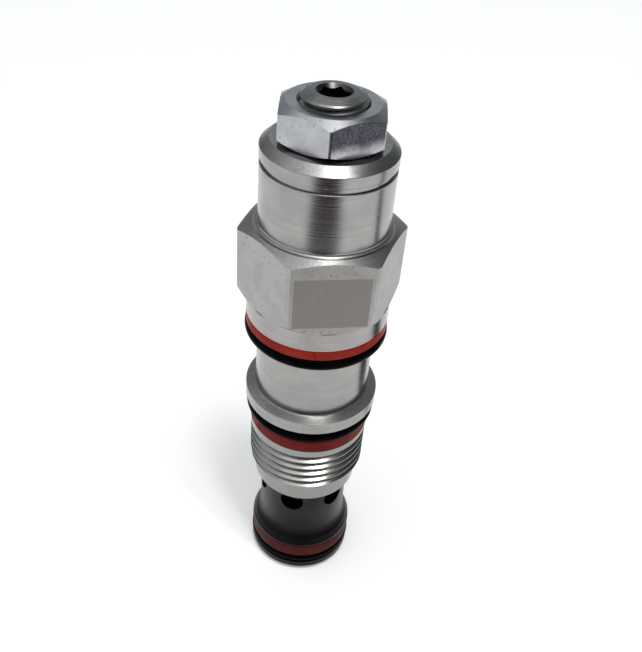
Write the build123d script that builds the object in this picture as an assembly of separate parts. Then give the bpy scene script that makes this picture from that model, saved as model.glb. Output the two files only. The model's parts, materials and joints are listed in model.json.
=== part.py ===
from build123d import *
import math
import os

# Three-port screw-in counterbalance cartridge valve, standing on its nose.
# Millimetres. Origin: centre of the nose face. +Z runs up the valve's axis to the adjuster.

os.makedirs("parts", exist_ok=True)

# ---- driving dimensions -------------------------------------------------------------------

# Fits between pieces
RUNNING = 0.05           # radial clearance of a sliding or turning fit
SEATED = 0.02            # clearance between pieces that rest against each other
SEAT_LIFT = 0.15         # axial gap between the closed poppet and its seat
EDGE = 0.12              # usual broken edge

# Standard sizes
BODY_HEX = 22.225        # 7/8 in across flats
NUT_HEX = 14.288         # 9/16 in across flats
KEY_HEX = 3.969          # 5/32 in hex key
SCREW_CREST_R = 4.65     # 3/8-24 UNF, crest
SCREW_PITCH = 25.4 / 24
PORT_THREAD_R = 10.0     # M20 x 1.5, crest
PORT_THREAD_PITCH = 1.5
THREAD_DEPTH = 0.61      # thread depth as a share of its pitch

# Sleeve, from the nose face up
NOSE_R = 9.2
NOSE_CHAMFER = 1.0
NOSE_GROOVE_LOW = 2.2
NOSE_GROOVE_HIGH = 6.6
NOSE_GROOVE_R = 7.45
NOSE_LAND_R = 9.15
NOSE_LAND_TOP = 7.2
FLARE_R = 8.6
FLARE_LOW = 8.3
FLARE_HIGH = 9.3
FLARE_ROUND = 3.0
SLEEVE_R = 7.8
SLEEVE_TOP = 31.0
SLEEVE_BORE_R = 5.6
PORT_1_R = 4.2
PORT_1_LIP = 3.2
PORT_1_CHAMFER = 0.4
PORT_2_R = 2.1
PORT_2_Z = 17.65
PORT_2_COUNT = 6
PORT_2_TURN = -103.0     # direction of the first cross hole, degrees from +X

# Sleeve retaining ring
RETAINER_LOW = 22.0
RETAINER_HIGH = 22.9
RETAINER_INNER_R = 7.25
RETAINER_OUTER_R = 8.3
RETAINER_GAP = 2.5

# Body, from the skirt up
SKIRT_BOTTOM = 19.6
SKIRT_BORE_R = 7.9
SKIRT_TIP_R = 8.4
SKIRT_R = 9.0
SKIRT_CHAMFER_TOP = 20.4
THREAD_BOTTOM = 23.6
THREAD_TOP = 32.25
THREAD_TURN = 30.0
MID_GROOVE_LOW = 33.35
MID_GROOVE_HIGH = 38.5
MID_GROOVE_R = 8.5
FLANGE_R = 11.0
FLANGE_TOP = 40.67
WAIST_R = 9.4
WAIST_LOW = 41.1
WAIST_HIGH = 50.95
LIP_R = 10.0
LIP_LOW = 51.45
TOP_GROOVE_LOW = 51.75
TOP_GROOVE_HIGH = 55.86
TOP_GROOVE_R = 9.2
COLLAR_R = 11.2
HEX_LOW = 59.05
HEX_HIGH = 71.5
HEX_CORNER_R = 12.65     # corners are turned down to this radius
HEX_TOP_R = 10.5
HEX_TOP_ANGLE = 27.0     # top chamfer, degrees from level
HEX_TURN = 10.5          # direction of one hex corner, degrees from +X
BONNET_R = 9.75
BONNET_FILLET = 0.5
HEAD_GROOVE_LOW = 80.94
HEAD_GROOVE_HIGH = 81.79
HEAD_GROOVE_R = 9.4
HEAD_R = 9.8
HEAD_CHAMFER_LOW = 83.45
HEAD_TOP = 84.6
HEAD_TOP_R = 8.5
BODY_BORE_R = 6.6
BODY_BORE_LOW = 34.0
BODY_BORE_HIGH = 76.6
PORT_3_R = 1.2
PORT_3_Z = 43.1

# Lock nut
NUT_BOTTOM = 84.7
NUT_TOP = 89.9
NUT_CORNER_R = 8.15
NUT_CHAMFER_ANGLE = 30.0
NUT_FACE_LOW_R = 7.0
NUT_FACE_HIGH_R = 6.5
NUT_COUNTERSINK = 0.28
NUT_TURN = 30.0

# Adjust screw
SCREW_TOP = 91.25
SCREW_FACE_R = 3.4
SCREW_CHAMFER_R = 4.4    # where the shallow end cone meets the chamfer to the crest
SCREW_CHAMFER_Z = 90.85
SCREW_NECK_R = 3.9
SCREW_NECK_TOP = 77.0
SCREW_THREAD_TURN = -79.0
KEY_DEPTH = 5.0
KEY_TURN = 10.0
KEY_MOUTH_R = 2.55
ADJUST_COLLAR_LOW = 71.0
ADJUST_COLLAR_HIGH = 75.0
ADJUST_GROOVE_LOW = 71.9

# Piston seal groove, the same on the adjuster and the pilot piston
PISTON_GROOVE_R = 5.05
PISTON_GROOVE_WIDTH = 2.3
PISTON_O_RING = 1.5
PISTON_BACKUP = 0.68

# Relief spring and its seats
SEAT_R = 6.3
SEAT_THICKNESS = 1.6
SEAT_BOSS_R = 3.9
SEAT_BOSS = 2.6
SEAT_BOSS_CHAMFER = 0.5
LOWER_SEAT_LOW = 50.0
UPPER_SEAT_LOW = 69.35
RELIEF_WIRE_R = 1.0
RELIEF_COIL_R = 5.2
RELIEF_COILS = 6.0

# Poppet, pilot piston and stem guide
STEM_R = 2.5
POPPET_R = 4.0
POPPET_TIP_R = 2.3
POPPET_RIM = 0.7
POPPET_TAPER = 1.3
PISTON_LOW = 44.8
PISTON_HIGH = 49.95
PISTON_GROOVE_LOW = 46.0
PISTON_SPIGOT_R = 2.0
PISTON_SPIGOT_TOP = 48.5
GUIDE_LOW = 24.0
GUIDE_FLANGE_LOW = 31.2
GUIDE_GROOVE_LOW = 31.9
GUIDE_GROOVE_HIGH = 33.2
GUIDE_GROOVE_R = 6.7
GUIDE_O_RING = 1.16
STEM_GROOVE_LOW = 26.5
STEM_GROOVE_HIGH = 29.0
STEM_GROOVE_R = 4.0
STEM_O_RING = 1.4
STEM_BACKUP = 0.9

# Check piston and spring
CHECK_LOW = 8.8
CHECK_HIGH = 15.2
CHECK_BORE_R = 3.3
CHECK_SEAT = 0.3
CHECK_NOSE_R = 4.6
CHECK_GROOVE = 0.3
CHECK_GROOVE_LOW = 10.5
CHECK_GROOVE_HIGH = 11.7
CHECK_WIRE_R = 0.35
CHECK_COIL_R = 4.75
CHECK_COILS = 4.5

# Outer seals: section or height, and the direction of each backup ring's split
TOP_O_RING = 2.18
TOP_BACKUP = 1.7
TOP_SPLIT = -89.0
MID_O_RING = 2.3
MID_BACKUP = 2.3
MID_BACKUP_R = 10.1
MID_SPLIT = 60.0
NOSE_O_RING = 1.84
NOSE_BACKUP = 2.4
NOSE_SPLIT = 150.0
SPLIT_WIDTH = 0.1
SPLIT_SLANT = 25.0

# ---- shapes shared by several pieces ------------------------------------------------------


def turned(*outline):
    """A solid of revolution from its (radius, height) outline; a third number rounds that corner."""
    face = make_face(Polyline(*[(point[0], 0, point[1]) for point in outline], close=True))
    for radius, height, *rounding in outline:
        if rounding:
            corner = face.vertices().sort_by_distance((radius, 0, height))[0]
            face = fillet(corner, rounding[0])
    return revolve(face, Axis.Z)


def hex_prism(across_flats, low, high, turn):
    """An upright hexagonal prism with one corner at the angle turn."""
    corner_r = across_flats / math.sqrt(3)
    face = Pos(0, 0, low) * Rot(0, 0, turn) * RegularPolygon(corner_r, 6)
    return extrude(face, high - low)


def o_ring(groove_r, section, low):
    """A round-section ring standing just off a groove floor, with its underside at low."""
    inner_r = groove_r + SEATED
    return Pos(0, 0, low + section / 2) * Torus(inner_r + section / 2, section / 2)


def plain_ring(inner_r, outer_r, low, high):
    """A square-section ring with sharp corners."""
    return turned((inner_r, low), (outer_r, low), (outer_r, high), (inner_r, high))


def backup_ring(groove_r, outer_r, low, height, split_turn):
    """A square-section seal ring with broken outer corners and one slanting split."""
    high = low + height
    ring = turned((groove_r + SEATED, low), (outer_r - EDGE, low), (outer_r, low + EDGE),
                  (outer_r, high - EDGE), (outer_r - EDGE, high), (groove_r + SEATED, high))
    middle = Pos(outer_r, 0, (low + high) / 2)
    width = outer_r - groove_r + 1
    split = middle * Rot(SPLIT_SLANT, 0, 0) * Box(2 * width, SPLIT_WIDTH, 4 * height)
    return ring - Rot(0, 0, split_turn) * split


def coil_spring(coil_r, wire_r, low, high, coils):
    """A compression spring whose ends are ground flat at low and high."""
    pitch = (high - low - wire_r) / coils
    line = Helix(pitch, pitch * coils, coil_r, center=(0, 0, low + wire_r / 2))
    section = Plane(origin=line @ 0, z_dir=line % 0) * Circle(wire_r)
    wire = sweep(section, path=line, is_frenet=True)
    slab = Pos(0, 0, (low + high) / 2) * Box(4 * coil_r, 4 * coil_r, high - low)
    return wire & slab


def thread_groove(crest_r, pitch, low, high, turn):
    """The helical V that cuts a right-hand thread of the given crest radius and pitch."""
    depth = THREAD_DEPTH * pitch
    outside = 0.25 * pitch
    root = 0.09 * pitch
    mouth = root + (depth + outside) * math.tan(math.radians(30))
    line = Helix(pitch, high - low, crest_r, center=(0, 0, low))
    start = Plane(origin=line @ 0, x_dir=(1, 0, 0), z_dir=line % 0)
    outline = Polygon((-depth, -root), (outside, -mouth), (outside, mouth), (-depth, root), align=None)
    return Rot(0, 0, turn) * sweep(start * outline, path=line, is_frenet=True)


# ---- pieces -------------------------------------------------------------------------------


def make_valve_body():
    """Head, bonnet, hex, seal collar, waist, seal flange, port thread and skirt in one piece."""
    top_cone = (HEX_CORNER_R - HEX_TOP_R) * math.tan(math.radians(HEX_TOP_ANGLE))
    low_cone = HEX_CORNER_R - COLLAR_R
    skirt_step = PORT_THREAD_R - SKIRT_R
    screw_bore_r = SCREW_CREST_R + RUNNING
    body = turned(
        (SKIRT_BORE_R, SKIRT_BOTTOM), (SKIRT_TIP_R, SKIRT_BOTTOM, EDGE),
        (SKIRT_R, SKIRT_CHAMFER_TOP, EDGE), (SKIRT_R, THREAD_BOTTOM),
        (PORT_THREAD_R, THREAD_BOTTOM + skirt_step), (PORT_THREAD_R, MID_GROOVE_LOW, EDGE),
        (MID_GROOVE_R, MID_GROOVE_LOW), (MID_GROOVE_R, MID_GROOVE_HIGH),
        (FLANGE_R, MID_GROOVE_HIGH, EDGE), (FLANGE_R, FLANGE_TOP, EDGE),
        (WAIST_R, WAIST_LOW, 2 * EDGE), (WAIST_R, WAIST_HIGH),
        (LIP_R, LIP_LOW), (LIP_R, TOP_GROOVE_LOW),
        (TOP_GROOVE_R, TOP_GROOVE_LOW), (TOP_GROOVE_R, TOP_GROOVE_HIGH),
        (COLLAR_R, TOP_GROOVE_HIGH, EDGE), (COLLAR_R, HEX_LOW),
        (HEX_CORNER_R, HEX_LOW + low_cone), (HEX_CORNER_R, HEX_HIGH - top_cone),
        (HEX_TOP_R, HEX_HIGH), (BONNET_R, HEX_HIGH, BONNET_FILLET),
        (BONNET_R, HEAD_GROOVE_LOW, EDGE), (HEAD_GROOVE_R, HEAD_GROOVE_LOW),
        (HEAD_GROOVE_R, HEAD_GROOVE_HIGH), (HEAD_R, HEAD_GROOVE_HIGH, EDGE),
        (HEAD_R, HEAD_CHAMFER_LOW, EDGE), (HEAD_TOP_R, HEAD_TOP, EDGE),
        (screw_bore_r, HEAD_TOP), (screw_bore_r, BODY_BORE_HIGH),
        (BODY_BORE_R, BODY_BORE_HIGH), (BODY_BORE_R, BODY_BORE_LOW),
        (SKIRT_BORE_R, BODY_BORE_LOW),
    )
    outside_hex = Pos(0, 0, (HEX_LOW + HEX_HIGH) / 2) * Cylinder(16, HEX_HIGH - HEX_LOW)
    body -= outside_hex - hex_prism(BODY_HEX, HEX_LOW - 1, HEX_HIGH + 1, HEX_TURN)
    body -= Pos(0, 0, PORT_3_Z) * Rot(0, 90, 0) * Cylinder(PORT_3_R, 4 * WAIST_R)
    body -= plain_ring(SLEEVE_R, RETAINER_OUTER_R + RUNNING, RETAINER_LOW, RETAINER_HIGH)
    run_in = THREAD_BOTTOM - PORT_THREAD_PITCH / 2
    return body - thread_groove(PORT_THREAD_R, PORT_THREAD_PITCH, run_in, THREAD_TOP, THREAD_TURN)


def make_retaining_ring():
    """The split ring that keeps the sleeve in the skirt."""
    ring = plain_ring(RETAINER_INNER_R, RETAINER_OUTER_R, RETAINER_LOW + SEATED, RETAINER_HIGH - SEATED)
    return ring - Pos(RETAINER_OUTER_R, 0, RETAINER_LOW) * Box(4, RETAINER_GAP, 4)


def make_sleeve():
    """The dark nose sleeve with the nose port, six cross holes and the nose seal groove."""
    sleeve = turned(
        (PORT_1_R + PORT_1_CHAMFER, 0), (NOSE_R - NOSE_CHAMFER, 0, EDGE),
        (NOSE_R, NOSE_CHAMFER), (NOSE_R, NOSE_GROOVE_LOW), (NOSE_GROOVE_R, NOSE_GROOVE_LOW),
        (NOSE_GROOVE_R, NOSE_GROOVE_HIGH), (NOSE_LAND_R, NOSE_GROOVE_HIGH, EDGE),
        (NOSE_LAND_R, NOSE_LAND_TOP, EDGE), (FLARE_R, FLARE_LOW, EDGE),
        (SLEEVE_R, FLARE_HIGH, FLARE_ROUND), (SLEEVE_R, SLEEVE_TOP, EDGE),
        (SLEEVE_BORE_R, SLEEVE_TOP), (SLEEVE_BORE_R, PORT_1_LIP), (PORT_1_R, PORT_1_LIP, EDGE),
        (PORT_1_R, PORT_1_CHAMFER),
    )
    hole = Pos(SLEEVE_R, 0, PORT_2_Z) * Rot(0, 90, 0) * Cylinder(PORT_2_R, SLEEVE_R)
    for k in range(PORT_2_COUNT):
        sleeve -= Rot(0, 0, PORT_2_TURN + k * 360 / PORT_2_COUNT) * hole
    return sleeve - plain_ring(RETAINER_INNER_R - SEATED, SKIRT_R, RETAINER_LOW, RETAINER_HIGH)


def make_adjust_screw():
    """Threaded adjuster with a hex socket, held in by the sealing collar at its foot."""
    collar_r = BODY_BORE_R - RUNNING
    groove_high = ADJUST_GROOVE_LOW + PISTON_GROOVE_WIDTH
    neck_step = SCREW_CREST_R - SCREW_NECK_R
    crest_z = SCREW_CHAMFER_Z - (SCREW_CREST_R - SCREW_CHAMFER_R)
    outside = turned(
        (0, ADJUST_COLLAR_LOW), (collar_r, ADJUST_COLLAR_LOW, EDGE), (collar_r, ADJUST_GROOVE_LOW),
        (PISTON_GROOVE_R, ADJUST_GROOVE_LOW), (PISTON_GROOVE_R, groove_high),
        (collar_r, groove_high), (collar_r, ADJUST_COLLAR_HIGH, EDGE),
        (SCREW_NECK_R, ADJUST_COLLAR_HIGH), (SCREW_NECK_R, SCREW_NECK_TOP),
        (SCREW_CREST_R, SCREW_NECK_TOP + neck_step), (SCREW_CREST_R, crest_z),
        (SCREW_CHAMFER_R, SCREW_CHAMFER_Z), (SCREW_FACE_R, SCREW_TOP), (0, SCREW_TOP),
    )
    socket = hex_prism(KEY_HEX, SCREW_TOP - KEY_DEPTH, SCREW_TOP + 1, KEY_TURN)
    mouth_depth = KEY_MOUTH_R - KEY_HEX / 2
    mouth = turned((0, SCREW_TOP - mouth_depth), (KEY_HEX / 2, SCREW_TOP - mouth_depth),
                   (KEY_MOUTH_R, SCREW_TOP), (KEY_MOUTH_R, SCREW_TOP + 1), (0, SCREW_TOP + 1))
    run_in = SCREW_NECK_TOP - SCREW_PITCH / 2
    overrun = SCREW_TOP + SCREW_PITCH
    stock = plain_ring(0, 2 * SCREW_CREST_R, ADJUST_COLLAR_LOW - 1, overrun + SCREW_PITCH)
    groove = thread_groove(SCREW_CREST_R, SCREW_PITCH, run_in, overrun, SCREW_THREAD_TURN)
    return outside & (stock - groove) - socket - mouth


def make_lock_nut():
    """Hex lock nut, chamfered on both sides."""
    slope = math.tan(math.radians(NUT_CHAMFER_ANGLE))
    low_cone = (NUT_CORNER_R - NUT_FACE_LOW_R) * slope
    high_cone = (NUT_CORNER_R - NUT_FACE_HIGH_R) * slope
    bore_r = SCREW_CREST_R + 2 * RUNNING
    nut = turned(
        (bore_r + NUT_COUNTERSINK, NUT_BOTTOM), (NUT_FACE_LOW_R, NUT_BOTTOM),
        (NUT_CORNER_R, NUT_BOTTOM + low_cone), (NUT_CORNER_R, NUT_TOP - high_cone),
        (NUT_FACE_HIGH_R, NUT_TOP, EDGE), (bore_r + NUT_COUNTERSINK, NUT_TOP),
        (bore_r, NUT_TOP - NUT_COUNTERSINK), (bore_r, NUT_BOTTOM + NUT_COUNTERSINK),
    )
    return nut & hex_prism(NUT_HEX, NUT_BOTTOM - 1, NUT_TOP + 1, NUT_TURN)


def make_spring_seat(low, boss_up):
    """A flanged button whose boss centres one end of the relief spring."""
    face = low + SEAT_THICKNESS if boss_up else low
    rise = SEAT_BOSS if boss_up else -SEAT_BOSS
    shoulder = face + 0.8 * rise
    tip_r = SEAT_BOSS_R - SEAT_BOSS_CHAMFER
    flange = plain_ring(0, SEAT_R, low, low + SEAT_THICKNESS)
    boss = turned((0, face), (SEAT_BOSS_R, face), (SEAT_BOSS_R, shoulder), (tip_r, face + rise),
                  (0, face + rise))
    return flange + boss


def make_relief_poppet():
    """Cone and stem of the relief poppet, with the spigot that carries the pilot piston."""
    seat_z = CHECK_HIGH - CHECK_SEAT + SEAT_LIFT
    tip_z = seat_z - (CHECK_BORE_R - POPPET_TIP_R)
    rim_z = seat_z + (POPPET_R - CHECK_BORE_R)
    stem_top = PISTON_LOW - SEATED
    return turned(
        (0, tip_z), (POPPET_TIP_R, tip_z), (POPPET_R, rim_z), (POPPET_R, rim_z + POPPET_RIM),
        (STEM_R, rim_z + POPPET_RIM + POPPET_TAPER), (STEM_R, stem_top),
        (PISTON_SPIGOT_R, stem_top), (PISTON_SPIGOT_R, PISTON_SPIGOT_TOP), (0, PISTON_SPIGOT_TOP),
    )


def make_pilot_piston():
    """The piston that pilot pressure lifts, with one seal groove."""
    outer_r = BODY_BORE_R - RUNNING
    spigot_r = PISTON_SPIGOT_R + SEATED
    groove_high = PISTON_GROOVE_LOW + PISTON_GROOVE_WIDTH
    return turned(
        (spigot_r, PISTON_LOW), (outer_r, PISTON_LOW, EDGE), (outer_r, PISTON_GROOVE_LOW),
        (PISTON_GROOVE_R, PISTON_GROOVE_LOW), (PISTON_GROOVE_R, groove_high),
        (outer_r, groove_high), (outer_r, PISTON_HIGH, EDGE), (0, PISTON_HIGH),
        (0, PISTON_SPIGOT_TOP + SEATED), (spigot_r, PISTON_SPIGOT_TOP + SEATED),
    )


def make_stem_guide():
    """Flanged bush that guides the stem and closes the pilot chamber."""
    bush_r = SLEEVE_BORE_R - RUNNING
    flange_r = SKIRT_BORE_R - RUNNING
    bore_r = STEM_R + RUNNING
    top = BODY_BORE_LOW - SEATED
    return turned(
        (bore_r, GUIDE_LOW), (bush_r, GUIDE_LOW, EDGE), (bush_r, GUIDE_FLANGE_LOW),
        (flange_r, GUIDE_FLANGE_LOW), (flange_r, GUIDE_GROOVE_LOW),
        (GUIDE_GROOVE_R, GUIDE_GROOVE_LOW), (GUIDE_GROOVE_R, GUIDE_GROOVE_HIGH),
        (flange_r, GUIDE_GROOVE_HIGH), (flange_r, top), (bore_r, top), (bore_r, STEM_GROOVE_HIGH),
        (STEM_GROOVE_R, STEM_GROOVE_HIGH), (STEM_GROOVE_R, STEM_GROOVE_LOW), (bore_r, STEM_GROOVE_LOW),
    )


def make_check_piston():
    """Sliding ring that carries the relief seat and opens downwards for free flow."""
    outer_r = SLEEVE_BORE_R - RUNNING
    groove_r = outer_r - CHECK_GROOVE
    return turned(
        (CHECK_BORE_R, CHECK_LOW), (outer_r, CHECK_LOW, EDGE), (outer_r, CHECK_GROOVE_LOW),
        (groove_r, CHECK_GROOVE_LOW), (groove_r, CHECK_GROOVE_HIGH), (outer_r, CHECK_GROOVE_HIGH),
        (outer_r, CHECK_HIGH - (outer_r - CHECK_NOSE_R)), (CHECK_NOSE_R, CHECK_HIGH),
        (CHECK_BORE_R + CHECK_SEAT, CHECK_HIGH), (CHECK_BORE_R, CHECK_HIGH - CHECK_SEAT),
    )


def make_relief_spring():
    """The heavy spring that holds the poppet shut."""
    low = LOWER_SEAT_LOW + SEAT_THICKNESS + SEATED
    return coil_spring(RELIEF_COIL_R, RELIEF_WIRE_R, low, UPPER_SEAT_LOW - SEATED, RELIEF_COILS)


def make_check_spring():
    """The light spring that holds the check piston up."""
    low = PORT_1_LIP + SEATED
    return coil_spring(CHECK_COIL_R, CHECK_WIRE_R, low, CHECK_LOW - SEATED, CHECK_COILS)


def piston_seals(prefix, groove_low):
    """The O-ring and, above it, the backup ring of one piston seal groove."""
    backup_high = groove_low + PISTON_GROOVE_WIDTH - SEATED
    outer_r = PISTON_GROOVE_R + PISTON_O_RING + 2 * SEATED
    return {
        prefix + "_o_ring": o_ring(PISTON_GROOVE_R, PISTON_O_RING, groove_low + SEATED),
        prefix + "_backup_ring": plain_ring(PISTON_GROOVE_R + SEATED, outer_r,
                                            backup_high - PISTON_BACKUP, backup_high),
    }


def stem_seals():
    """The O-ring and backup ring inside the stem guide, and the O-ring round its flange."""
    backup_high = STEM_GROOVE_HIGH - SEATED
    return {
        "guide_o_ring": o_ring(GUIDE_GROOVE_R, GUIDE_O_RING, GUIDE_GROOVE_LOW + SEATED),
        "stem_o_ring": o_ring(STEM_R, STEM_O_RING, STEM_GROOVE_LOW + SEATED),
        "stem_backup_ring": plain_ring(STEM_R + SEATED, STEM_GROOVE_R - SEATED,
                                       backup_high - STEM_BACKUP, backup_high),
    }


def outer_seals():
    """The three seal sets that divide the cavity: collar, flange and nose."""
    top_backup_low = TOP_GROOVE_HIGH - SEATED - TOP_BACKUP
    mid_backup_low = MID_GROOVE_LOW + SEATED
    nose_backup_low = NOSE_GROOVE_HIGH - SEATED - NOSE_BACKUP
    return {
        "upper_backup_ring": backup_ring(TOP_GROOVE_R, COLLAR_R, top_backup_low, TOP_BACKUP, TOP_SPLIT),
        "upper_o_ring": o_ring(TOP_GROOVE_R, TOP_O_RING, top_backup_low - SEATED - TOP_O_RING),
        "middle_o_ring": o_ring(MID_GROOVE_R, MID_O_RING, mid_backup_low + MID_BACKUP + SEATED),
        "middle_backup_ring": backup_ring(MID_GROOVE_R, MID_BACKUP_R, mid_backup_low,
                                           MID_BACKUP, MID_SPLIT),
        "nose_backup_ring": backup_ring(NOSE_GROOVE_R, NOSE_R, nose_backup_low, NOSE_BACKUP, NOSE_SPLIT),
        "nose_o_ring": o_ring(NOSE_GROOVE_R, NOSE_O_RING, nose_backup_low - SEATED - NOSE_O_RING),
    }


pieces = {
    "valve_body": make_valve_body(),
    "sleeve": make_sleeve(),
    "sleeve_retaining_ring": make_retaining_ring(),
    "lock_nut": make_lock_nut(),
    "adjust_screw": make_adjust_screw(),
    "upper_spring_seat": make_spring_seat(UPPER_SEAT_LOW, False),
    "relief_spring": make_relief_spring(),
    "lower_spring_seat": make_spring_seat(LOWER_SEAT_LOW, True),
    "pilot_piston": make_pilot_piston(),
    "relief_poppet": make_relief_poppet(),
    "stem_guide": make_stem_guide(),
    "check_piston": make_check_piston(),
    "check_spring": make_check_spring(),
}
pieces.update(outer_seals())
pieces.update(stem_seals())
pieces.update(piston_seals("adjuster", ADJUST_GROOVE_LOW))
pieces.update(piston_seals("pilot_piston", PISTON_GROOVE_LOW))

for name, piece in pieces.items():
    export_step(piece, f"parts/{name}.step")
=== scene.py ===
import json
import math

import bpy
from mathutils import Euler, Matrix, Vector

MM = 0.001

# ---- camera: in front of the valve, looking down on it from close by ----------------------

AIM_HEIGHT = 56.4 * MM
DISTANCE = 126.05 * MM
ELEVATION = math.radians(36.29)
PAN = math.radians(-0.386)
TILT = math.radians(-1.542)
ROLL = math.radians(4.684)
LENS = 44.18
SENSOR_WIDTH = 36.0
NEAREST = 5 * MM
FARTHEST = 10000 * MM

camera_data = bpy.data.cameras.new("camera")
camera_data.lens = LENS
camera_data.sensor_width = SENSOR_WIDTH
camera_data.clip_start = NEAREST
camera_data.clip_end = FARTHEST
camera = bpy.data.objects.new("camera", camera_data)
bpy.context.scene.collection.objects.link(camera)
place = Vector((0, -math.cos(ELEVATION), math.sin(ELEVATION))) * DISTANCE
camera.matrix_world = (
    Matrix.Translation(place + Vector((0, 0, AIM_HEIGHT)))
    @ Euler((math.pi / 2 - ELEVATION, 0, 0)).to_matrix().to_4x4()
    @ Matrix.Rotation(PAN, 4, "Y")
    @ Matrix.Rotation(TILT, 4, "X")
    @ Matrix.Rotation(ROLL, 4, "Z")
)
bpy.context.scene.camera = camera
bpy.context.scene.view_settings.view_transform = "Standard"

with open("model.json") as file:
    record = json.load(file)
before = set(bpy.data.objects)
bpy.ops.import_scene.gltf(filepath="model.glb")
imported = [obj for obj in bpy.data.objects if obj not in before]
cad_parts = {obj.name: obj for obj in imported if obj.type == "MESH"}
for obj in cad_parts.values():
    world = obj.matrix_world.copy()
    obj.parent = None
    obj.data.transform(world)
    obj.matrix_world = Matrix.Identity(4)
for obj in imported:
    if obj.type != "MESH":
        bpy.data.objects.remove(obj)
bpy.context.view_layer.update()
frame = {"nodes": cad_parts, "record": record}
nodes = frame["nodes"]


# ---- small helpers for node trees ---------------------------------------------------------

FACING_SPREAD = 1.37    # how fast the turned lines change across a flat end, against along the axis
BUMP_DEPTH = 0.01 * MM


class Shader:
    """A Principled material and short calls that add nodes to it."""

    def __init__(self, name, metallic=0.0, specular=0.5):
        self.material = bpy.data.materials.new(name)
        self.material.use_nodes = True
        self.tree = self.material.node_tree
        self.surface = self.tree.nodes["Principled BSDF"]
        self.surface.inputs["Metallic"].default_value = metallic
        self.surface.inputs["Specular IOR Level"].default_value = specular
        coordinates = self.tree.nodes.new("ShaderNodeTexCoord")
        self.position = coordinates.outputs["Object"]

    def add(self, kind, inputs=(), **settings):
        """A new node with its settings and its inputs, which are sockets or plain values."""
        node = self.tree.nodes.new(kind)
        for key, value in settings.items():
            setattr(node, key, value)
        for key, value in dict(inputs).items():
            if isinstance(value, bpy.types.NodeSocket):
                self.tree.links.new(value, node.inputs[key])
            else:
                node.inputs[key].default_value = value
        return node

    def math(self, operation, *values):
        """The result of one math operation."""
        return self.add("ShaderNodeMath", enumerate(values), operation=operation).outputs[0]

    def split(self, vector):
        """The X, Y and Z of a vector."""
        return self.add("ShaderNodeSeparateXYZ", {0: vector}).outputs

    def radius(self, x, y):
        """The distance from the valve's axis."""
        squares = self.math("ADD", self.math("MULTIPLY", x, x), self.math("MULTIPLY", y, y))
        return self.math("SQRT", squares)

    def distance(self, x, y, heading):
        """How far out a point lies towards a heading in radians."""
        along_x = self.math("MULTIPLY", x, math.cos(heading))
        along_y = self.math("MULTIPLY", y, math.sin(heading))
        return self.math("ADD", along_x, along_y)

    def noise(self, vector, scale, detail=2.0, roughness=0.5):
        """Noise from 0 to 1 over a vector."""
        inputs = {"Vector": vector, "Scale": scale, "Detail": detail, "Roughness": roughness}
        return self.add("ShaderNodeTexNoise", inputs).outputs[0]

    def ramp(self, value, low, high, start=0.0, end=1.0):
        """value mapped smoothly from low..high to start..end, and held outside it."""
        inputs = {"Value": value, "From Min": low, "From Max": high, "To Min": start, "To Max": end}
        node = self.add("ShaderNodeMapRange", inputs, interpolation_type="SMOOTHSTEP")
        return node.outputs[0]

    def blend(self, factor, first, second):
        """A colour between first and second."""
        node = self.add("ShaderNodeMix", data_type="RGBA")
        for socket, value in ((node.inputs[0], factor), (node.inputs[6], first), (node.inputs[7], second)):
            if isinstance(value, bpy.types.NodeSocket):
                self.tree.links.new(value, socket)
            else:
                socket.default_value = value if isinstance(value, float) else (*value, 1.0)
        return node.outputs[2]

    def between(self, value, low, high, soft):
        """1 where value lies between low and high, fading out over soft."""
        above = self.ramp(value, low - soft, low + soft)
        below = self.ramp(value, high - soft, high + soft, 1.0, 0.0)
        return self.math("MULTIPLY", above, below)

    def turned_line(self, scale, detail=3.0):
        """Noise that runs in circles round the valve's axis, as a lathe tool leaves it."""
        x, y, z = self.split(self.position)
        along = self.math("ADD", z, self.math("MULTIPLY", self.radius(x, y), FACING_SPREAD))
        lines = self.add("ShaderNodeTexNoise", {"W": along, "Scale": scale, "Detail": detail},
                         noise_dimensions="1D")
        return lines.outputs[0]

    def finish(self, colour, roughness, height, bump):
        """Links colour, roughness and a bump height to the surface, and returns the material."""
        self.tree.links.new(colour, self.surface.inputs["Base Color"])
        self.tree.links.new(roughness, self.surface.inputs["Roughness"])
        relief = self.add("ShaderNodeBump", {"Height": height, "Strength": bump, "Distance": BUMP_DEPTH})
        self.tree.links.new(relief.outputs[0], self.surface.inputs["Normal"])
        return self.material


# ---- materials ----------------------------------------------------------------------------

# Light and dark tones of each finish, what lies on it, and the painted shade and painted reflection on
# some
PLATE_TONES = ((0.376, 0.363, 0.35), (0.326, 0.317, 0.307))
PLATE_LINE = (0.28, 0.28, 0.275)
# Painted shade that darkens the plate towards the bottom
PLATE_PAINTED_SHADE = (0.2, 0.195, 0.185)
CONE_SPECK = (0.19, 0.2, 0.225)
SATIN_TONES = ((0.425, 0.417, 0.405), (0.36, 0.353, 0.342))
SATIN_PIT = (0.16, 0.15, 0.145)
ETCHED_TONES = ((0.352, 0.328, 0.308), (0.282, 0.261, 0.244))
NUT_TONES = ((0.47, 0.475, 0.495), (0.405, 0.41, 0.43))
NUT_PIT = (0.18, 0.18, 0.2)
# Painted dark reflection on one face of the nut
DARK_REFLECTION_TONES = ((0.035, 0.036, 0.048), (0.12, 0.12, 0.135))
SCREW_TONES = ((0.3, 0.3, 0.295), (0.2, 0.2, 0.195))
# Painted shade inside the screw's socket
SOCKET_PAINTED_SHADE = (0.075, 0.072, 0.068)
OXIDE_TONES = ((0.0225, 0.018, 0.0175), (0.0145, 0.0112, 0.0108))
# Painted shade for the sleeve's nose
OXIDE_NOSE_SHADE = (0.004, 0.0035, 0.0035)
RED_TONES = ((0.33, 0.026, 0.016), (0.25, 0.019, 0.012))
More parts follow.
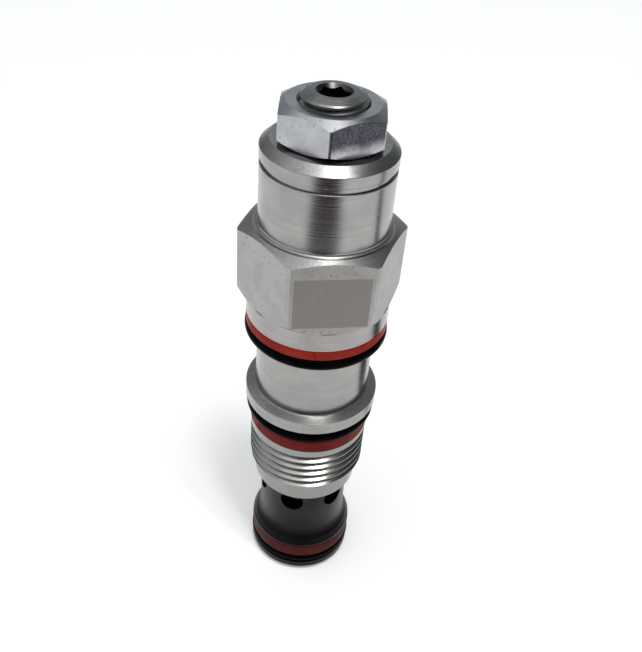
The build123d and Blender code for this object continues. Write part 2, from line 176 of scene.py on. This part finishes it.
# Painted shade on the red towards the nose
SHADED_RED_TONES = ((0.08, 0.011, 0.009), (0.06, 0.009, 0.008))
RUBBER_TONES = ((0.001, 0.001, 0.001), (0.003, 0.0025, 0.0025))
WIRE_TONES = ((0.3, 0.3, 0.31), (0.2, 0.2, 0.21))
GROUND_TONES = ((0.6, 0.6, 0.61), (0.5, 0.5, 0.51))

# Plating: the tilts that count as upright and as a cone, the pits, and what is rougher than the rest
UPRIGHT_TILT = (0.05, 0.2)
CONE_TILT = (0.35, 0.985, 0.01)
PIT_SPAN = (0.30, 0.38, 1.0, 0.0)
FLATS_ROUGHER = 0.2
CONES_ROUGHER = 0.13
PATCH_ROUGHER = 0.18

# Body hex: its flats, the turned corners between them, and the etched patch on the front flat
HEX_LOW = 59.2 * MM
HEX_HIGH = 71.4 * MM
HEX_SOFT = 0.1 * MM
HEX_CORNER_R = 12.63 * MM
HEX_CORNER_SOFT = 0.01 * MM
FRONT_FACE = math.radians(-79.5)
PATCH_HALF_WIDTH = 5.55 * MM
PATCH_LOW = 60.35 * MM
PATCH_HIGH = 68.75 * MM
PATCH_SOFT = 0.06 * MM
PATCH_REACH_LOW = 11.0 * MM
PATCH_REACH_HIGH = 11.05 * MM

# Heights between which the painted shade towards the bottom fades, the roughened cones start and the
# painted shade at the nose fades
SHADE_FADE_LOW = 15.0 * MM
SHADE_FADE_HIGH = 60.0 * MM
CONES_LOW = 39.0 * MM
CONES_HIGH = 40.0 * MM
FOOT_LOW = 9.0 * MM
FOOT_HIGH = 14.0 * MM

# Painted dark reflection on one face of the nut, and painted shade in the screw's socket
DARK_REFLECTION_FACE = math.radians(-60.0)
DARK_REFLECTION_REACH_LOW = 7.04 * MM
DARK_REFLECTION_REACH_HIGH = 7.1 * MM
DARK_REFLECTION_LOW = 85.9 * MM
DARK_REFLECTION_HIGH = 87.9 * MM
DARK_REFLECTION_WAVE = 1.5 * MM
SOCKET_R = 2.5 * MM
SOCKET_EDGE_R = 2.62 * MM


def zinc_body():
    """Clear zinc plate: turned lines, duller specked cones, satin pitted flats, an etched patch, and
    painted shade towards the bottom.
    """
    s = Shader("zinc_body", metallic=1.0)
    x, y, z = s.split(s.position)
    normal_z = s.split(s.add("ShaderNodeNewGeometry").outputs["True Normal"])[2]
    radius = s.radius(x, y)
    upright = s.ramp(s.math("ABSOLUTE", normal_z), *UPRIGHT_TILT, 1.0, 0.0)
    flats = s.math("MULTIPLY", upright, s.between(z, HEX_LOW, HEX_HIGH, HEX_SOFT))
    inside_corner = s.ramp(radius, HEX_CORNER_R - HEX_CORNER_SOFT, HEX_CORNER_R, 1.0, 0.0)
    flats = s.math("MULTIPLY", flats, inside_corner)

    across = s.distance(x, y, FRONT_FACE + math.pi / 2)
    outward = s.distance(x, y, FRONT_FACE)
    patch = s.between(across, -PATCH_HALF_WIDTH, PATCH_HALF_WIDTH, PATCH_SOFT)
    patch = s.math("MULTIPLY", patch, s.between(z, PATCH_LOW, PATCH_HIGH, PATCH_SOFT))
    patch = s.math("MULTIPLY", patch, s.ramp(outward, PATCH_REACH_LOW, PATCH_REACH_HIGH))

    cloud = s.noise(s.position, 260.0, 3.0)
    grain = s.noise(s.position, 6000.0, 2.0, 0.7)
    pits = s.ramp(s.noise(s.position, 1500.0, 2.0, 0.6), *PIT_SPAN)
    lines = s.turned_line(7000.0)
    wide_lines = s.turned_line(900.0, 2.0)

    plate = s.blend(s.ramp(cloud, 0.35, 0.7), *PLATE_TONES)
    plate = s.blend(s.ramp(wide_lines, 0.45, 0.75, 0.0, 0.35), plate, PLATE_LINE)
    # Painted shade: the plate darkens towards the bottom
    plate = s.blend(s.ramp(z, SHADE_FADE_LOW, SHADE_FADE_HIGH, 0.5, 0.0), plate, PLATE_PAINTED_SHADE)
    satin = s.blend(s.ramp(cloud, 0.3, 0.75), *SATIN_TONES)
    satin = s.blend(s.math("MULTIPLY", pits, 0.55), satin, SATIN_PIT)
    etched = s.blend(s.ramp(grain, 0.3, 0.7), *ETCHED_TONES)
    cones = s.math("MULTIPLY", s.between(normal_z, *CONE_TILT), s.ramp(z, CONES_LOW, CONES_HIGH))
    specks = s.ramp(s.noise(s.position, 2600.0, 3.0, 0.7), 0.4, 0.65)
    specked = s.math("MULTIPLY", s.math("MULTIPLY", cones, specks), 0.45)
    plate = s.blend(specked, plate, CONE_SPECK)
    colour = s.blend(flats, plate, satin)
    colour = s.blend(patch, colour, etched)

    smooth = s.ramp(lines, 0.2, 0.8, 0.16, 0.3)
    rough = s.math("ADD", s.math("MULTIPLY", flats, FLATS_ROUGHER), smooth)
    rough = s.math("ADD", rough, s.math("MULTIPLY", cones, CONES_ROUGHER))
    rough = s.math("ADD", rough, s.math("MULTIPLY", patch, PATCH_ROUGHER))
    turned = s.math("MULTIPLY", lines, s.math("SUBTRACT", 1.0, flats))
    milled = s.math("MULTIPLY", grain, s.math("MULTIPLY", flats, 0.6))
    height = s.math("ADD", turned, milled)
    height = s.math("SUBTRACT", height, s.math("MULTIPLY", s.math("MULTIPLY", pits, flats), 0.8))
    return s.finish(colour, rough, height, 0.25)


def zinc_nut():
    """Bright zinc plate; one face carries a painted dark reflection, mottled, that fades towards its foot.
    """
    s = Shader("zinc_nut", metallic=1.0)
    x, y, z = s.split(s.position)
    cloud = s.noise(s.position, 320.0, 4.0, 0.6)
    grain = s.noise(s.position, 5000.0, 2.0, 0.7)
    specks = s.noise(s.position, 3500.0, 3.0, 0.7)
    pits = s.ramp(s.noise(s.position, 1700.0, 2.0, 0.6), *PIT_SPAN)
    colour = s.blend(s.ramp(cloud, 0.35, 0.7), *NUT_TONES)
    colour = s.blend(s.math("MULTIPLY", pits, 0.5), colour, NUT_PIT)
    # Painted reflection: one face is darkened, most near its top, fading towards its foot
    outward = s.distance(x, y, DARK_REFLECTION_FACE)
    height = s.math("ADD", z, s.math("MULTIPLY", cloud, DARK_REFLECTION_WAVE))
    painted_reflection = s.ramp(outward, DARK_REFLECTION_REACH_LOW, DARK_REFLECTION_REACH_HIGH)
    painted_reflection = s.math("MULTIPLY", painted_reflection, s.ramp(height, DARK_REFLECTION_LOW, DARK_REFLECTION_HIGH))
    dark = s.blend(s.ramp(specks, 0.35, 0.75), *DARK_REFLECTION_TONES)
    colour = s.blend(s.math("MULTIPLY", painted_reflection, 0.97), colour, dark)
    rough = s.ramp(cloud, 0.3, 0.7, 0.22, 0.36)
    return s.finish(colour, rough, s.math("SUBTRACT", grain, pits), 0.2)


def plated_screw():
    """Plated screw steel, darker and finely scuffed, with painted shade in its socket."""
    s = Shader("plated_screw", metallic=1.0)
    x, y, _ = s.split(s.position)
    cloud = s.noise(s.position, 500.0, 3.0)
    lines = s.turned_line(5000.0)
    colour = s.blend(s.ramp(cloud, 0.3, 0.7), *SCREW_TONES)
    # Painted shade: the socket's inside is darkened
    socket = s.ramp(s.radius(x, y), SOCKET_R, SOCKET_EDGE_R, 1.0, 0.0)
    colour = s.blend(socket, colour, SOCKET_PAINTED_SHADE)
    rough = s.ramp(lines, 0.2, 0.8, 0.22, 0.4)
    return s.finish(colour, rough, lines, 0.2)


def dark_sleeve():
    """Dark brown oxide on hardened steel, with painted shade darkening it at the nose."""
    s = Shader("dark_sleeve", metallic=0.9)
    cloud = s.noise(s.position, 350.0, 3.0)
    lines = s.turned_line(4000.0)
    colour = s.blend(s.ramp(cloud, 0.3, 0.7), *OXIDE_TONES)
    # Painted shade: the oxide darkens towards the nose
    foot = s.ramp(s.split(s.position)[2], FOOT_LOW, FOOT_HIGH, 0.6, 0.0)
    colour = s.blend(foot, colour, OXIDE_NOSE_SHADE)
    rough = s.ramp(lines, 0.2, 0.8, 0.26, 0.42)
    return s.finish(colour, rough, lines, 0.12)


def red_backup():
    """Satin brick-red seal plastic, with painted shade darkening it towards the nose."""
    s = Shader("red_backup", specular=0.04)
    cloud = s.noise(s.position, 400.0, 3.0)
    grain = s.noise(s.position, 5000.0, 2.0)
    unshaded_red = s.blend(s.ramp(cloud, 0.3, 0.7), *RED_TONES)
    shaded_red = s.blend(s.ramp(cloud, 0.3, 0.7), *SHADED_RED_TONES)
    # Painted shade: the red darkens towards the nose
    colour = s.blend(s.ramp(s.split(s.position)[2], SHADE_FADE_LOW, SHADE_FADE_HIGH), shaded_red, unshaded_red)
    rough = s.ramp(cloud, 0.3, 0.7, 0.36, 0.5)
    return s.finish(colour, rough, grain, 0.1)


def black_rubber():
    """Oiled black rubber."""
    s = Shader("black_rubber", specular=0.015)
    cloud = s.noise(s.position, 500.0, 3.0)
    grain = s.noise(s.position, 4000.0, 2.0)
    colour = s.blend(s.ramp(cloud, 0.3, 0.7), *RUBBER_TONES)
    rough = s.ramp(cloud, 0.3, 0.7, 0.12, 0.2)
    return s.finish(colour, rough, grain, 0.08)


def spring_steel():
    """Drawn spring wire."""
    s = Shader("spring_steel", metallic=1.0)
    cloud = s.noise(s.position, 600.0, 3.0)
    grain = s.noise(s.position, 4000.0, 2.0)
    colour = s.blend(s.ramp(cloud, 0.3, 0.7), *WIRE_TONES)
    return s.finish(colour, s.ramp(cloud, 0.3, 0.7, 0.25, 0.4), grain, 0.1)


def ground_steel():
    """Ground and hardened steel of the inner pieces."""
    s = Shader("ground_steel", metallic=1.0)
    cloud = s.noise(s.position, 400.0, 3.0)
    lines = s.turned_line(6000.0)
    colour = s.blend(s.ramp(cloud, 0.3, 0.7), *GROUND_TONES)
    return s.finish(colour, s.ramp(lines, 0.2, 0.8, 0.15, 0.28), lines, 0.1)


finishes = {
    "zinc_body": zinc_body(),
    "zinc_nut": zinc_nut(),
    "plated_screw": plated_screw(),
    "dark_sleeve": dark_sleeve(),
    "red_backup": red_backup(),
    "black_rubber": black_rubber(),
    "spring_steel": spring_steel(),
    "ground_steel": ground_steel(),
}
for part in frame["record"]["subparts"]:
    slots = nodes[part["node"]].material_slots
    for slot in slots:
        slot.material = finishes[part["material_slot"]]


# ---- floor, reflection cards and light ----------------------------------------------------


def plain_material(name, colour, emission=0.0):
    """A rough material of one colour for what isn't part of the object."""
    material = bpy.data.materials.new(name)
    material.use_nodes = True
    surface = material.node_tree.nodes["Principled BSDF"]
    surface.inputs["Base Color"].default_value = (*colour, 1.0)
    surface.inputs["Roughness"].default_value = 1.0
    surface.inputs["Specular IOR Level"].default_value = 0.0
    surface.inputs["Emission Color"].default_value = (*colour, 1.0)
    surface.inputs["Emission Strength"].default_value = emission
    return material


def flat_panel(name, along, across, material):
    """A level stage panel from its half lengths, centred on the origin."""
    corners = ((-along, -across, 0), (along, -across, 0), (along, across, 0), (-along, across, 0))
    mesh = bpy.data.meshes.new(name)
    mesh.from_pydata([Vector(corner) for corner in corners], [], [range(len(corners))])
    mesh.materials.append(material)
    panel = bpy.data.objects.new(name, mesh)
    bpy.context.scene.collection.objects.link(panel)
    return panel


FLOOR_HALF = 1500 * MM
FLOOR_COLOUR = (0.93, 0.93, 0.93)
FLOOR_GLOW = 0.25
CARD_LIFT = 0.3 * MM

flat_panel("floor", FLOOR_HALF, FLOOR_HALF, plain_material("floor", FLOOR_COLOUR, FLOOR_GLOW))


def soft_card(name, centre, turn, along, across, soft, colour):
    """A dark card with faded edges, just over the floor, that only reflections see."""
    card = flat_panel(name, along, across, plain_material(name, colour))
    card.location = (*centre, CARD_LIFT)
    card.rotation_euler = (0, 0, math.radians(turn))
    card.visible_camera = False
    card.visible_diffuse = False
    card.visible_shadow = False
    tree = card.data.materials[0].node_tree
    spot = tree.nodes.new("ShaderNodeTexCoord").outputs["Generated"]
    parts = tree.nodes.new("ShaderNodeSeparateXYZ")
    tree.links.new(spot, parts.inputs[0])
    cover = []
    for axis, half in enumerate((along, across)):
        fold = tree.nodes.new("ShaderNodeMath")
        fold.operation = "PINGPONG"
        fold.inputs[1].default_value = 0.5
        tree.links.new(parts.outputs[axis], fold.inputs[0])
        fade = tree.nodes.new("ShaderNodeMapRange")
        fade.interpolation_type = "SMOOTHSTEP"
        fade.inputs["From Min"].default_value = 0.0
        fade.inputs["From Max"].default_value = soft / (2 * half)
        tree.links.new(fold.outputs[0], fade.inputs["Value"])
        cover.append(fade.outputs[0])
    both = tree.nodes.new("ShaderNodeMath")
    both.operation = "MULTIPLY"
    tree.links.new(cover[0], both.inputs[0])
    tree.links.new(cover[1], both.inputs[1])
    clear = tree.nodes.new("ShaderNodeBsdfTransparent")
    mix = tree.nodes.new("ShaderNodeMixShader")
    tree.links.new(both.outputs[0], mix.inputs[0])
    tree.links.new(clear.outputs[0], mix.inputs[1])
    tree.links.new(tree.nodes["Principled BSDF"].outputs[0], mix.inputs[2])
    tree.links.new(mix.outputs[0], tree.nodes["Material Output"].inputs["Surface"])


# In metres and degrees; along and across are half lengths, soft is the width of the faded edge
soft_card("card_front", centre=(0.005, -0.287), turn=-89.0, along=0.2, across=0.08, soft=0.035,
          colour=(0.02, 0.009, 0.007))
soft_card("card_side", centre=(0.124, 0.023), turn=-3.0, along=0.086, across=0.018, soft=0.011,
          colour=(0.015, 0.015, 0.018))


def direction(heading, height):
    """The unit vector at a heading and a height angle, both in degrees."""
    turn = math.radians(heading)
    lift = math.radians(height)
    return Vector((math.cos(turn) * math.cos(lift), math.sin(turn) * math.cos(lift), math.sin(lift)))


KEY_REACH = 1.1


def key_light(name, heading, height, width, length, power):
    """A rectangular light at a heading and a height angle, aimed at the valve's middle."""
    data = bpy.data.lights.new(name, "AREA")
    data.shape = "RECTANGLE"
    data.size = width
    data.size_y = length
    data.energy = power
    light = bpy.data.objects.new(name, data)
    bpy.context.scene.collection.objects.link(light)
    offset = direction(heading, height)
    light.location = offset * KEY_REACH + Vector((0, 0, AIM_HEIGHT))
    light.rotation_euler = offset.to_track_quat("Z", "Y").to_euler()


key_light("key_left", heading=-66.0, height=73.0, width=0.1, length=0.31, power=3.2)
key_light("key_right", heading=-44.0, height=70.5, width=0.075, length=0.29, power=2.0)

# Soft glows of the room, as heading, height, half width in degrees, and colour
GLOWS = (
    (-97.0, 64.0, 32.0, (1.3, 1.3, 1.33)),
    (-178.0, 30.0, 58.0, (0.27, 0.29, 0.31)),
    (162.0, 72.0, 38.0, (0.7, 0.71, 0.7)),
    (90.0, 22.0, 45.0, (0.34, 0.36, 0.38)),
    (-150.0, 5.0, 45.0, (0.45, 0.45, 0.45)),
    (62.0, 74.0, 18.0, (0.6, 0.6, 0.6)),
)
ROOM = (0.09, 0.1, 0.105)


def studio_world():
    """A dim room with soft glows; the camera sees plain white."""
    world = bpy.data.worlds.new("studio")
    bpy.context.scene.world = world
    world.use_nodes = True
    tree = world.node_tree
    tree.nodes.clear()
    view = tree.nodes.new("ShaderNodeTexCoord").outputs["Generated"]
    total = tree.nodes.new("ShaderNodeCombineXYZ")
    for k, value in enumerate(ROOM):
        total.inputs[k].default_value = value
    light = total.outputs[0]
    for heading, height, width, colour in GLOWS:
        near = tree.nodes.new("ShaderNodeVectorMath")
        near.operation = "DOT_PRODUCT"
        near.inputs[1].default_value = direction(heading, height)
        tree.links.new(view, near.inputs[0])
        fade = tree.nodes.new("ShaderNodeMapRange")
        fade.interpolation_type = "SMOOTHSTEP"
        fade.inputs["From Min"].default_value = math.cos(math.radians(width))
        fade.inputs["From Max"].default_value = 1.0
        tree.links.new(near.outputs["Value"], fade.inputs["Value"])
        glow = tree.nodes.new("ShaderNodeVectorMath")
        glow.operation = "MULTIPLY_ADD"
        glow.inputs[1].default_value = colour
        tree.links.new(fade.outputs[0], glow.inputs[0])
        tree.links.new(light, glow.inputs[2])
        light = glow.outputs[0]
    studio = tree.nodes.new("ShaderNodeBackground")
    tree.links.new(light, studio.inputs["Color"])
    plain = tree.nodes.new("ShaderNodeBackground")
    plain.inputs["Color"].default_value = (1.0, 1.0, 1.0, 1.0)
    rays = tree.nodes.new("ShaderNodeLightPath")
    choice = tree.nodes.new("ShaderNodeMixShader")
    tree.links.new(rays.outputs["Is Camera Ray"], choice.inputs[0])
    tree.links.new(studio.outputs[0], choice.inputs[1])
    tree.links.new(plain.outputs[0], choice.inputs[2])
    output = tree.nodes.new("ShaderNodeOutputWorld")
    tree.links.new(choice.outputs[0], output.inputs["Surface"])


studio_world()
